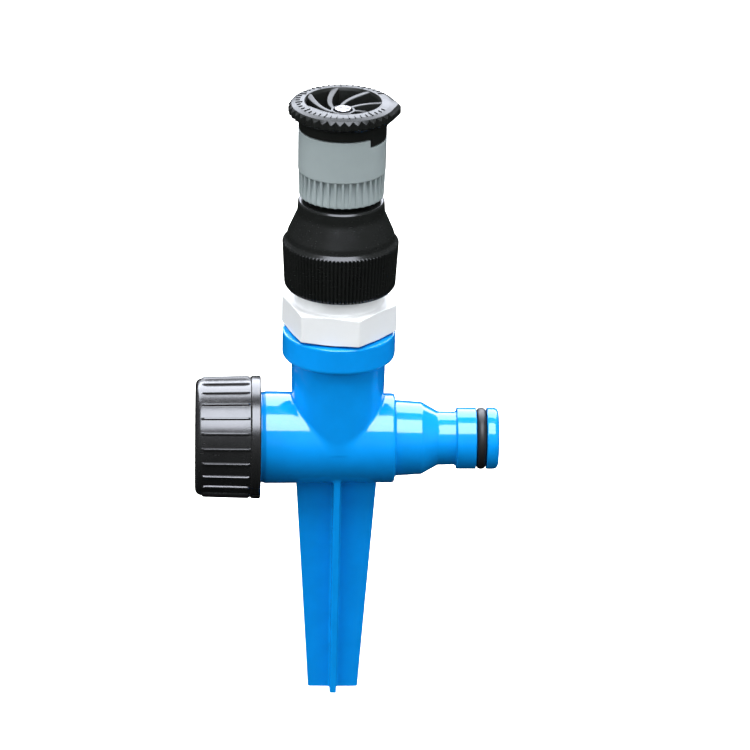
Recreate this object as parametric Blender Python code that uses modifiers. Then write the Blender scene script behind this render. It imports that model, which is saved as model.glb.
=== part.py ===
"""A garden spray head on a ground spike.

One blue moulding holds the spike, a horizontal barrel with a hose tail at one end and a screw
cap at the other, and a riser socket. A white hex nipple screws into the socket, a black shrub
adapter screws onto the nipple, and a spray nozzle with an adjustable arc screws onto the adapter.

The frame: +Z runs up the riser, +X along the barrel towards the hose tail, and -Y is the front.
The origin is on the spike's axis at the ground line, the level to which the spike is pushed in.
All sizes below are in millimetres; the helpers turn them into metres.
"""

import math

import bmesh
import bpy
from mathutils import Matrix, Vector

MM = 0.001
GAP = 0.3  # between pieces that touch on the real object
STEPS = 32  # sides of a large turned shape
FINE_STEPS = 24  # sides of a small turned shape
AXIS_MERGE = 1e-5  # in metres

# Heights of the stack, each counted up from the ground line or from the piece below it.
BARREL_Z = 70.5
SPIKE_BELOW_GROUND = 79.5
SOCKET_TOP = BARREL_Z + 30.8
HEX_BOTTOM = SOCKET_TOP + 0.6
HEX_TOP = HEX_BOTTOM + 7.6
BOSS_TOP = HEX_TOP + 3.8
SKIRT_BOTTOM = BOSS_TOP + GAP
SKIRT_TOP = SKIRT_BOTTOM + 12.4
NECK_BOTTOM = SKIRT_TOP + 6.6
NECK_TOP = NECK_BOTTOM + 4.7
BASE_BOTTOM = NECK_TOP + 1.4
GRIP_TOP = BASE_BOTTOM + 7.0
BASE_TOP = BASE_BOTTOM + 18.2
RING_TOP = BASE_TOP + 7.3  # the opening's edge in the top of the arc collar

# Radii.
RISER_RADIUS = 12.2
SOCKET_RADIUS = 14.6
TAIL_RADIUS = 8.0  # the standard push-fit hose tail, 16 across
HOSE_BORE = 4.5
CAP_RADIUS = 16.0
SKIRT_RADIUS = 14.9
NECK_RADIUS = 11.2
BASE_RADIUS = 11.3
RING_RADIUS = 14.0
WATERWAY_RADIUS = 6.0

# Along the barrel, from the riser's axis.
CAP_START = 19.9
CAP_END = 36.9
CAP_WALL = 2.4
BARREL_END = 32.3
TAIL_END = 42.0

# Threads are plain here: a male root with clearance inside a female crest.
HALF_INCH_MALE = 9.6
HALF_INCH_FEMALE = 10.7
CAP_MALE = 12.2
CAP_LIP = 12.9  # the cap's mouth
CAP_FEMALE = 13.3
STUB_MALE = 7.8
STUB_FEMALE = 8.6

HEX_ACROSS_FLATS = 26.2
HEX_TURN = math.radians(-11.5)  # how far one flat is turned from facing the front

# The arc setting: angles anticlockwise from +X, seen from above.
RECESS_START = math.radians(-52.6)
RECESS_END = math.radians(176)
TAB_START = RECESS_START + math.radians(1.7)
TAB_END = math.radians(12)
TAB_DROP = 2.05

CAP_RIBS = 24
GRIP_RIBS = 36
RING_TEETH = 38
VANES = 7
VANE_FIRST = math.radians(-2.9)
VANE_SWEEP = math.radians(49)
VANE_BEND = 1.3

# Heights inside the nozzle.
STUB_TOP = NECK_TOP + 8.0
FLANGE_TOP = STUB_TOP + GAP + 1.1
SHOULDER = NECK_TOP + 11.3  # inside the base, above the gasket
CHAMBER_FLOOR = SHOULDER + 2.7
FOOT = CHAMBER_FLOOR + GAP
SCREW_TOP = RING_TOP - 2.0
SCREW_SEAT = SCREW_TOP - 3.1

CHAMBER_RADIUS = 8.3
FOOT_RADIUS = 7.9
HUB_RADIUS = 3.1
HEAD_RADIUS = 2.15
SHANK_RADIUS = 1.1
PLUG_TRAVEL = 2.0


def clear_scene():
    for obj in list(bpy.data.objects):
        bpy.data.objects.remove(obj)


def new_collection(name):
    collection = bpy.data.collections.new(name)
    bpy.context.scene.collection.children.link(collection)
    return collection


def surface(name, colour, roughness, metallic=0.0):
    material = bpy.data.materials.new(name)
    material.use_nodes = True
    shader = material.node_tree.nodes["Principled BSDF"]
    shader.inputs["Base Color"].default_value = (*colour, 1.0)
    shader.inputs["Roughness"].default_value = roughness
    shader.inputs["Metallic"].default_value = metallic
    return material


clear_scene()
PARTS = new_collection("spike_sprinkler")
TOOLS = new_collection("tools")
BLUE = surface("blue_plastic", (0.004, 0.27, 0.82), 0.25)
BLACK = surface("black_plastic", (0.02, 0.022, 0.021), 0.35)
GREY = surface("grey_plastic", (0.31, 0.36, 0.37), 0.45)
WHITE = surface("white_plastic", (0.8, 0.82, 0.82), 0.4)
RUBBER = surface("black_rubber", (0.015, 0.015, 0.015), 0.75)
NATURAL = surface("natural_plastic", (0.7, 0.68, 0.6), 0.5)
STEEL = surface("stainless_steel", (0.75, 0.74, 0.72), 0.25, 1.0)


# ---- Modelling helpers ----


def add(name, mesh, material=None):
    """A new object that shows mesh: a part if it has a material, and a tool if not."""
    obj = bpy.data.objects.new(name, mesh)
    if material is None:
        TOOLS.objects.link(obj)
        obj.hide_render = True
        obj.display_type = "WIRE"
    else:
        PARTS.objects.link(obj)
        mesh.materials.append(material)
    return obj


def add_bmesh(name, bm, material=None):
    bmesh.ops.recalc_face_normals(bm, faces=bm.faces[:])
    mesh = bpy.data.meshes.new(name)
    bm.to_mesh(mesh)
    bm.free()
    return add(name, mesh, material)


def turned(name, profile, material=None, steps=STEPS):
    """A solid turned about Z. The (radius, height) profile runs down its outer side."""
    count = len(profile)
    edges = [(i, i + 1) for i in range(count - 1)]
    if profile[0][0] > 0:
        edges.append((count - 1, 0))
    mesh = bpy.data.meshes.new(name)
    mesh.from_pydata([(radius * MM, 0, height * MM) for radius, height in profile], edges, [])
    obj = add(name, mesh, material)
    screw = obj.modifiers.new("Turn", "SCREW")
    screw.steps = steps
    screw.render_steps = steps
    screw.use_merge_vertices = True
    screw.merge_threshold = AXIS_MERGE
    screw.use_smooth_shade = True
    return obj


def ring(name, inner, outer, bottom, top, material=None):
    """A plain ring, such as a flat washer."""
    profile = [(inner, top), (outer, top), (outer, bottom), (inner, bottom)]
    return turned(name, profile, material, FINE_STEPS)


def disc(name, radius, bottom, top):
    return turned(name, [(0, top), (radius, top), (radius, bottom), (0, bottom)])


def plate(name, outlines, bottom, top, material=None):
    """Flat outlines in the XY plane, thickened from bottom to top, as one mesh."""
    curve = bpy.data.curves.new(name, "CURVE")
    curve.dimensions = "2D"
    curve.fill_mode = "BOTH"
    curve.extrude = (top - bottom) / 2 * MM
    for outline in outlines:
        spline = curve.splines.new("POLY")
        spline.points.add(len(outline) - 1)
        for point, (x, y) in zip(spline.points, outline):
            point.co = (x * MM, y * MM, 0, 1)
        spline.use_cyclic_u = True
    drawn = bpy.data.objects.new(name + "_outline", curve)
    TOOLS.objects.link(drawn)
    bpy.context.view_layer.update()
    graph = bpy.context.evaluated_depsgraph_get()
    mesh = bpy.data.meshes.new_from_object(drawn.evaluated_get(graph))
    bpy.data.objects.remove(drawn)
    bm = bmesh.new()
    bm.from_mesh(mesh)
    bpy.data.meshes.remove(mesh)
    bmesh.ops.remove_doubles(bm, verts=bm.verts[:], dist=AXIS_MERGE)
    obj = add_bmesh(name, bm, material)
    obj.location.z = (top + bottom) / 2 * MM
    return obj


def sector(name, inner, outer, start, end, bottom, top, material=None):
    """Part of a ring between two angles."""
    steps = max(2, round((end - start) / math.tau * STEPS))
    angles = [start + (end - start) * i / steps for i in range(steps + 1)]
    outline = [polar(outer, angle) for angle in angles]
    outline += [polar(inner, angle) for angle in reversed(angles)]
    return plate(name, [outline], bottom, top, material)


def blocks(name, size, radius, middle, count, lean=0.0):
    """Upright blocks, evenly spaced round Z, each leaning in at its top."""
    bm = bmesh.new()
    for i in range(count):
        made = bmesh.ops.create_cube(bm, size=1)["verts"]
        bmesh.ops.scale(bm, vec=Vector(size) * MM, verts=made)
        bmesh.ops.rotate(bm, cent=(0, 0, 0), matrix=Matrix.Rotation(-lean, 3, "Y"), verts=made)
        bmesh.ops.translate(bm, vec=(radius * MM, 0, middle * MM), verts=made)
        turn = Matrix.Rotation(math.tau * i / count, 3, "Z")
        bmesh.ops.rotate(bm, cent=(0, 0, 0), matrix=turn, verts=made)
    return add_bmesh(name, bm)


def polar(radius, angle):
    return (radius * math.cos(angle), radius * math.sin(angle))


def circle(radius, count):
    return [polar(radius, math.tau * i / count) for i in range(count)]


def arc(centre, radius, start, end, count):
    """Points on an arc in a profile, from the start angle to the end angle in degrees."""
    angles = [math.radians(start + (end - start) * i / count) for i in range(count + 1)]
    return [(centre[0] + radius * math.cos(a), centre[1] + radius * math.sin(a)) for a in angles]


def boolean(obj, tools, operation):
    for tool in tools:
        modifier = obj.modifiers.new(operation.title(), "BOOLEAN")
        modifier.operation = operation
        modifier.solver = "EXACT"
        modifier.object = tool


def join(obj, *tools):
    boolean(obj, tools, "UNION")


def cut(obj, *tools):
    boolean(obj, tools, "DIFFERENCE")


def place(frame, *objects):
    for obj in objects:
        obj.parent = frame


def axis_frame(name, height, turn):
    """An empty on Z, for pieces that are turned about another axis."""
    frame = bpy.data.objects.new(name, None)
    PARTS.objects.link(frame)
    frame.location.z = height * MM
    frame.rotation_euler = turn
    return frame


# ---- The blue moulding, its O-ring and its cap ----


def blade(name, half_width, thickness, top):
    """One of the two crossed blades of the spike, standing in the XZ plane."""
    slope = half_width * 0.01016
    knee = 12 - SPIKE_BELOW_GROUND
    side = [(half_width + slope * top, top), (half_width + slope * knee, knee)]
    side += [(0.5, -SPIKE_BELOW_GROUND)]
    outline = side + [(-x, y) for x, y in reversed(side)]
    standing = plate(name, [outline], -thickness / 2, thickness / 2)
    standing.rotation_euler.x = math.pi / 2
    return standing


def spike_body(barrel):
    """The barrel's profile runs from the cap's end, at the top of the barrel's own frame, to
    the nose of the hose tail."""
    nose = 2.4
    profile = [(0, BARREL_END), (CAP_MALE - 0.6, BARREL_END), (CAP_MALE, BARREL_END - 0.8)]
    profile += [(CAP_MALE, CAP_START + 0.8), (12.0, CAP_START + 0.5)]
    profile += arc((10.05, -13.4), 1.55, 0, -90, 3)
    profile += [(9.85, -15.2), (9.4, -22.0), (7.0, -26.2), (6.9, -30.7)]
    profile += [(TAIL_RADIUS, -31.0), (TAIL_RADIUS, -36.1), (5.9, -36.3), (5.9, -38.7)]
    profile += [(TAIL_RADIUS, -38.9)]
    profile += arc((TAIL_RADIUS - nose, nose - TAIL_END), nose, -20, -90, 3)
    profile += [(0, -TAIL_END)]
    body = turned("spike_body", profile, BLUE)

    waterway = [(0, BARREL_END + 1), (9.0, BARREL_END + 1), (9.0, -10.5)]
    waterway += [(HOSE_BORE, -14.0), (HOSE_BORE, -TAIL_END - 1), (0, -TAIL_END - 1)]
    inside = turned("barrel_waterway", waterway)
    place(barrel, body, inside)

    riser = [(0, SOCKET_TOP), (14.2, SOCKET_TOP), (SOCKET_RADIUS, SOCKET_TOP - 0.5)]
    riser += [(SOCKET_RADIUS, SOCKET_TOP - 7.6), (RISER_RADIUS, SOCKET_TOP - 7.7)]
    riser += [(11.7, BARREL_Z), (0, BARREL_Z)]
    outside = turned("riser_outside", riser)

    counterbore = 12.0
    washer_seat = SOCKET_TOP - 1.4
    socket = [(0, SOCKET_TOP + 1), (counterbore, SOCKET_TOP + 1), (counterbore, washer_seat)]
    socket += [(HALF_INCH_FEMALE, washer_seat), (HALF_INCH_FEMALE, BARREL_Z + 13.4)]
    socket += [(7.5, BARREL_Z + 11.4), (7.5, BARREL_Z), (0, BARREL_Z)]
    well = turned("riser_socket", socket)

    wide = blade("spike_wide_blade", 6.35, 2.0, BARREL_Z - 10.4)
    deep = blade("spike_deep_blade", 5.1, 1.7, BARREL_Z - 5.0)
    deep.rotation_euler.z = math.pi / 2
    join(body, outside, wide, deep)
    cut(body, inside, well)


def tail_o_ring(barrel):
    o_ring = turned("tail_o_ring", arc((7.3, -37.5), 1.05, 0, -315, 7), RUBBER)
    place(barrel, o_ring)


def end_cap(barrel):
    corner = 2.4
    floor = CAP_END - CAP_WALL
    profile = [(0, CAP_END)]
    profile += arc((15.2 - corner, CAP_END - corner), corner, 90, 0, 3)
    profile += [(15.6, CAP_START + 2.6), (CAP_RADIUS, CAP_START + 2.4)]
    profile += [(CAP_RADIUS, CAP_START + 0.3), (15.7, CAP_START), (CAP_LIP, CAP_START)]
    profile += [(CAP_LIP, CAP_START + 0.8), (CAP_FEMALE, CAP_START + 1.2)]
    profile += [(CAP_FEMALE, floor), (0, floor)]
    cap = turned("end_cap", profile, BLACK)
    low = CAP_START + 2.0
    high = CAP_END - 2.6
    ribs = blocks("cap_ribs", (1.2, 0.6, high - low), 15.15, (low + high) / 2, CAP_RIBS, 0.03)
    place(barrel, cap, ribs)
    join(cap, ribs)


def cap_washer(barrel):
    top = CAP_END - CAP_WALL - GAP
    place(barrel, ring("cap_washer", 9.2, 13.0, BARREL_END + GAP, top, RUBBER))


# ---- The nipple and the adapter ----


def hex_nipple():
    """A hex between two male threads. A turned shape takes off the corners of its flats."""
    corner_radius = HEX_ACROSS_FLATS / 2 / math.cos(math.pi / 6)
    corners = [polar(corner_radius, HEX_TURN + math.tau * i / 6) for i in range(6)]
    nipple = plate("hex_nipple", [corners], HEX_BOTTOM, HEX_TOP, WHITE)
    flat = HEX_ACROSS_FLATS / 2 + 0.5
    past = corner_radius + 0.1
    limit = [(0, HEX_TOP + 0.01), (flat, HEX_TOP + 0.01), (past, HEX_TOP - 0.9)]
    limit += [(past, HEX_BOTTOM + 0.6), (flat + 0.4, HEX_BOTTOM - 0.01), (0, HEX_BOTTOM - 0.01)]

    boss = 11.4
    end = BOSS_TOP + 11.4
    threads = [(0, end), (HALF_INCH_MALE - 0.7, end), (HALF_INCH_MALE, end - 1)]
    threads += [(HALF_INCH_MALE, BOSS_TOP), (boss - 0.3, BOSS_TOP), (boss, BOSS_TOP - 0.3)]
    threads += [(boss, HEX_BOTTOM + 1), (HALF_INCH_MALE, HEX_BOTTOM + 0.9)]
    threads += [(HALF_INCH_MALE, BARREL_Z + 15), (HALF_INCH_MALE - 0.7, BARREL_Z + 14)]
    threads += [(0, BARREL_Z + 14)]
    core = turned("nipple_threads", threads)
    boolean(nipple, [turned("hex_corners", limit)], "INTERSECT")
    join(nipple, core)
    cut(nipple, disc("nipple_bore", 6.5, BARREL_Z + 10, end + 5))


def nipple_washer():
    ring("nipple_washer", HALF_INCH_MALE + 0.35, 11.7, SOCKET_TOP - 1.1, HEX_BOTTOM - GAP, RUBBER)


def shrub_adapter():
    shoulder = BOSS_TOP + 14.6  # inside, above the washer
    profile = [(WATERWAY_RADIUS, STUB_TOP), (STUB_MALE - 0.5, STUB_TOP)]
    profile += [(STUB_MALE, STUB_TOP - 0.5), (STUB_MALE, NECK_TOP), (NECK_RADIUS - 0.2, NECK_TOP)]
    profile += [(NECK_RADIUS + 0.2, NECK_BOTTOM), (12.1, NECK_BOTTOM - 1.5)]
    profile += [(13.7, NECK_BOTTOM - 4.2), (SKIRT_RADIUS - 0.3, SKIRT_TOP)]
    profile += [(SKIRT_RADIUS, SKIRT_TOP - 0.5), (14.4, SKIRT_BOTTOM + 1)]
    profile += [(13.9, SKIRT_BOTTOM), (11.7, SKIRT_BOTTOM), (HALF_INCH_FEMALE, SKIRT_BOTTOM + 1)]
    profile += [(HALF_INCH_FEMALE, shoulder), (WATERWAY_RADIUS, shoulder)]
    turned("shrub_adapter", profile, BLACK, 48)


def adapter_washer():
    ring("adapter_washer", 6.9, 10.3, BOSS_TOP + 11.4 + GAP, BOSS_TOP + 14.6 - GAP, RUBBER)


# ---- The nozzle ----


def filter_frame():
    """A flange, four posts and a closed end: the cage that holds the screen."""
    end = STUB_TOP - 16.6
    top = STUB_TOP + 1
    cage = ring("filter_frame", 4.2, 7.7, STUB_TOP + GAP, FLANGE_TOP, NATURAL)
    posts = blocks("filter_posts", (0.6, 1.4, top - end), 5.3, (top + end) / 2, 4)
    join(cage, posts, disc("filter_end", 5.6, end - 0.6, end + 0.8))


def filter_screen():
    ring("filter_screen", 4.3, 4.7, STUB_TOP - 15.5, STUB_TOP, STEEL)


def nozzle_gasket():
    ring("nozzle_gasket", 4.5, 8.2, FLANGE_TOP + GAP, SHOULDER - GAP, RUBBER)


def nozzle_base():
    """The grey body, with the recess that the arc collar's tab travels in."""
    top = BASE_TOP - GAP / 2
    throat = 3.2
    profile = [(CHAMBER_RADIUS, top), (BASE_RADIUS, top), (BASE_RADIUS - 0.08, GRIP_TOP + 0.4)]
    profile += [(10.85, GRIP_TOP), (10.6, BASE_BOTTOM + 0.4), (10.3, BASE_BOTTOM)]
    profile += [(STUB_FEMALE, BASE_BOTTOM), (STUB_FEMALE, SHOULDER), (throat, SHOULDER)]
    profile += [(throat, CHAMBER_FLOOR), (CHAMBER_RADIUS, CHAMBER_FLOOR)]
    base = turned("nozzle_base", profile, GREY)
    middle = (BASE_BOTTOM + GRIP_TOP) / 2
    ribs = blocks("grip_ribs", (0.9, 0.8, GRIP_TOP - BASE_BOTTOM), 10.68, middle, GRIP_RIBS)
    floor = top - TAB_DROP
    recess = sector("tab_recess", 9.3, 13, RECESS_START, RECESS_END, floor, BASE_TOP + 1)
    join(base, ribs)
    cut(base, recess)


def spray_deflector():
    """Seven curved vanes round a hub, whose foot stands in the base."""
    bore = HEAD_RADIUS + 0.35
    hub_top = SCREW_TOP - 0.5
    profile = [(bore, hub_top), (HUB_RADIUS, hub_top), (HUB_RADIUS, FOOT + 1)]
    profile += [(FOOT_RADIUS, FOOT + 1), (FOOT_RADIUS, FOOT), (SHANK_RADIUS + 0.4, FOOT)]
    profile += [(SHANK_RADIUS + 0.4, SCREW_SEAT), (bore, SCREW_SEAT)]
    deflector = turned("spray_deflector", profile, BLACK, FINE_STEPS)
    outlines = [vane(VANE_FIRST + math.tau * i / VANES) for i in range(VANES)]
    vanes = plate("vanes", outlines, BASE_TOP + 2.4, RING_TOP)
    dish = [(0, RING_TOP + 1), (9.6, RING_TOP + 1), (9.6, RING_TOP - 1.1)]
    dish += [(HUB_RADIUS - 0.2, hub_top - 0.1), (0, hub_top - 0.1)]
    cut(vanes, turned("vane_dish", dish))
    join(deflector, vanes)
    cut(deflector, foot_ports())


def vane(outer_angle):
    """One vane's outline, from the hub out and back."""
    start = HUB_RADIUS - 0.4
    reach = 8.85
    steps = 6
    sides = ([], [])
    for i in range(steps + 1):
        t = i / steps
        radius = start + (reach - start) * t
        middle = outer_angle + VANE_SWEEP * (1 - t) ** VANE_BEND
        half = 0.5 / radius
        sides[0].append(polar(radius, middle - half))
        sides[1].append(polar(radius, middle + half))
    return sides[0] + sides[1][::-1]


def foot_ports():
    """Four round holes that let the water up through the deflector's foot."""
    bm = bmesh.new()
    radius = 1.6 * MM
    for x, y in circle(5.5, 4):
        made = bmesh.ops.create_cone(
            bm, cap_ends=True, segments=12, radius1=radius, radius2=radius, depth=4 * MM
        )["verts"]
        bmesh.ops.translate(bm, vec=Vector((x, y, FOOT)) * MM, verts=made)
    return add_bmesh("foot_ports", bm)


def retaining_ring():
    """A split spring ring over the deflector's foot."""
    low = FOOT + 1 + GAP
    half_gap = math.radians(12)
    sector("retaining_ring", 6.8, FOOT_RADIUS, half_gap, math.tau - half_gap, low, low + 0.6, STEEL)


def collar_spring():
    ring("collar_spring", 3.6, 6.4, FOOT + 2.2, FOOT + 3.0, STEEL)


def valve_sleeve():
    """The valve seat under the collar, with the slot that the arc is cut from."""
    low = FOOT + 3.3
    top = BASE_TOP + 1.5
    sleeve = ring("valve_sleeve", 3.5, FOOT_RADIUS, low, top, NATURAL)
    cut(sleeve, sector("arc_slot", 4.4, 6.6, 0, math.radians(160), low - 1, top + 1))


def arc_collar():
    """The top collar: a serrated ring with a pointer, and the tab that limits its turn."""
    low = BASE_TOP + GAP / 2
    valley = RING_RADIUS - 0.5
    under = RING_TOP - 2.9
    profile = [(9.9, RING_TOP), (valley - 0.3, RING_TOP - 1.0), (valley - 0.05, RING_TOP - 1.3)]
    profile += [(valley - 0.05, under), (valley - 0.4, under - 0.4), (BASE_RADIUS, under - 1.3)]
    profile += [(BASE_RADIUS, low), (8.4, low), (8.4, low + 1.6), (9.2, low + 2.0)]
    profile += [(9.5, RING_TOP - 0.8)]
    collar = turned("arc_collar", profile, BLACK)
    steps = 2 * RING_TEETH
    toothed = [polar(RING_RADIUS - 0.5 * (i % 2), math.tau * i / steps) for i in range(steps)]
    teeth = plate("ring_teeth", [toothed, circle(12, STEPS)], under + 0.1, RING_TOP - 1.4)
    beak = plate("beak", [[(12, -2.6), (14.9, 0), (12, 2.6)]], under + 0.05, RING_TOP - 1.35)
    tab = sector("tab", 9.7, BASE_RADIUS, TAB_START, TAB_END, low - TAB_DROP, low + 0.8)
    join(collar, teeth, beak, tab)


def radius_screw():
    """The central screw. Its slot takes a flat screwdriver."""
    neck = SCREW_TOP - 1.8
    end = STUB_TOP - 4.5
    profile = [(0, SCREW_TOP), (HEAD_RADIUS - 0.3, SCREW_TOP), (HEAD_RADIUS, SCREW_TOP - 0.3)]
    profile += [(HEAD_RADIUS, neck), (SHANK_RADIUS, neck), (SHANK_RADIUS, end), (0, end)]
    screw = turned("radius_screw", profile, STEEL, FINE_STEPS)
    cut(screw, blocks("screw_slot", (6, 0.6, 1.6), 0, SCREW_TOP, 1))


def screw_seal():
    low = SCREW_SEAT + GAP
    ring("screw_seal", SHANK_RADIUS + 0.35, 2.2, low, low + 0.7, RUBBER)


def throttle_plug():
    """A captive nut on the screw, which the screw draws up against the base to close it."""
    top = SHOULDER - GAP - PLUG_TRAVEL
    bore = SHANK_RADIUS + 0.35
    profile = [(bore, top), (2.6, top), (3.6, top - 1), (3.6, top - 3.5), (bore, top - 3.5)]
    turned("throttle_plug", profile, NATURAL, FINE_STEPS)


# The barrel's own +Z points out through the cap, along -X.
BARREL = axis_frame("barrel_axis", BARREL_Z, (0, -math.pi / 2, 0))
spike_body(BARREL)
tail_o_ring(BARREL)
end_cap(BARREL)
cap_washer(BARREL)
hex_nipple()
nipple_washer()
shrub_adapter()
adapter_washer()
filter_frame()
filter_screen()
nozzle_gasket()
nozzle_base()
spray_deflector()
retaining_ring()
collar_spring()
valve_sleeve()
arc_collar()
radius_screw()
screw_seal()
throttle_plug()
bpy.context.view_layer.update()
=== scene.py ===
"""The looks of the garden spray head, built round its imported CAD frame.

Every piece that shows is a finer version of its CAD node, in the same place and riding on the
same body. Sizes are in millimetres, as in the part's source, and heights count from the ground.
"""

import math

import bmesh
import bpy
import numpy as np
from mathutils import Matrix, Vector


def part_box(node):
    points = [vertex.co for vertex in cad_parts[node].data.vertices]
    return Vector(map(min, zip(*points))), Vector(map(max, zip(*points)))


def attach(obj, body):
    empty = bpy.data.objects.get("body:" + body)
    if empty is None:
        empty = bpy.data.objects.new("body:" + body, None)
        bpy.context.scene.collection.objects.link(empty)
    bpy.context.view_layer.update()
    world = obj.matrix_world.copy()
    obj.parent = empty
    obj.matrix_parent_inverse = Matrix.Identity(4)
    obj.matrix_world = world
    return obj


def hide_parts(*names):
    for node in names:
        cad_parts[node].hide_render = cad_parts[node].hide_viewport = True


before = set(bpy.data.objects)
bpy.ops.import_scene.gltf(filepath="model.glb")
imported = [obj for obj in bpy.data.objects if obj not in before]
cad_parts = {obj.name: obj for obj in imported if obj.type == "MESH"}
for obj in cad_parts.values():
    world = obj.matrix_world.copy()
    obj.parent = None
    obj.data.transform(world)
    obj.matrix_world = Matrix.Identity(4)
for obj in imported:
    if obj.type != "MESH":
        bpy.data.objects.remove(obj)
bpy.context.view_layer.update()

MM = 0.001


def corners(node):
    """A CAD node's lowest and highest corners, in millimetres."""
    low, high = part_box(node)
    return low / MM, high / MM


SPIKE_LOW, SPIKE_HIGH = corners("spike_body")
CAP_LOW, CAP_HIGH = corners("end_cap")
NIPPLE_LOW, NIPPLE_HIGH = corners("hex_nipple")
ADAPTER_LOW, ADAPTER_HIGH = corners("shrub_adapter")
BASE_LOW, BASE_HIGH = corners("nozzle_base")
SCREW_LOW, SCREW_HIGH = corners("radius_screw")

# Heights of the stack. Where a CAD node ends, its height is from that node's box.
SPIKE_TIP = SPIKE_LOW.z
BARREL_Z = (CAP_LOW.z + CAP_HIGH.z) / 2
SOCKET_TOP = SPIKE_HIGH.z
SOCKET_BOTTOM = SOCKET_TOP - 7.1
HEX_BOTTOM = SOCKET_TOP + 0.6
HEX_TOP = HEX_BOTTOM + 7.6
BOSS_TOP = HEX_TOP + 3.8
NIPPLE_END = NIPPLE_HIGH.z
SKIRT_BOTTOM = ADAPTER_LOW.z
SKIRT_TOP = SKIRT_BOTTOM + 12.4
NECK_BOTTOM = SKIRT_TOP + 6.6
NECK_TOP = NECK_BOTTOM + 4.7
STUB_TOP = ADAPTER_HIGH.z
BASE_BOTTOM = BASE_LOW.z
GRIP_TOP = BASE_BOTTOM + 7.0
BASE_TOP = BASE_HIGH.z
SHOULDER = NECK_TOP + 11.3
CHAMBER_FLOOR = SHOULDER + 2.7
RING_TOP = corners("arc_collar")[1].z
COLLAR_BOTTOM = BASE_TOP + 0.3
SCREW_TOP = SCREW_HIGH.z
FOOT = corners("spray_deflector")[0].z

# Along the barrel, from the riser's axis. The cap is on the -X end.
TAIL_END = SPIKE_HIGH.x
BARREL_END = 32.3
BARREL_STEP = 14.95  # where the barrel steps down to the hose tail
CAP_START = -CAP_HIGH.x
CAP_END = -CAP_LOW.x

# Radii.
TUBE = 12.2  # the barrel under the cap, and the riser under its socket
SOCKET = 14.6
TAIL = 8.0
CAP_RIM = 16.0
SKIRT = 14.98
MALE_THREAD = 9.6  # at its root, on the nipple
STUB = 7.8
SPRAY_BODY = 11.3
RING_INSIDE = 9.85
RING_EDGE = 13.95
BEAK_TIP = 14.9

# Thread pitches: 14 turns to the inch on the nipple and the cap, 20 on the nozzle.
HALF_INCH_PITCH = 25.4 / 14
NOZZLE_PITCH = 1.27
SCREW_PITCH = 0.8

HEX_TURN = math.radians(-11.5)
RECESS_START = math.radians(-52.6)
RECESS_END = math.radians(176)
TAB_START = math.radians(-50.9)
TAB_END = math.radians(12)
TAB_DROP = 2.05

CAP_RIBS = 24
CAP_TURN = math.radians(-3.3)  # how far the ribs are turned from the barrel's top
KNURLS = 90
GRIP_RIBS = 36
RING_TEETH = 38
RING_TICKS = 40
VANES = 7
VANE_FIRST = math.radians(-2.9)
VANE_SWEEP = math.radians(49)
VANE_BEND = 1.3


# ---- Materials ----

# Noise cells to the metre.
SHADE_CELLS = 140.0
GLOSS_CELLS = 330.0
SCRATCH_CELLS = 260.0
SCRATCH_STRETCH = 12.0  # how many times longer than wide a scratch is
SCRATCH_ROUGHNESS = 0.04
GLOSS_SPREAD = 0.12


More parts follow.
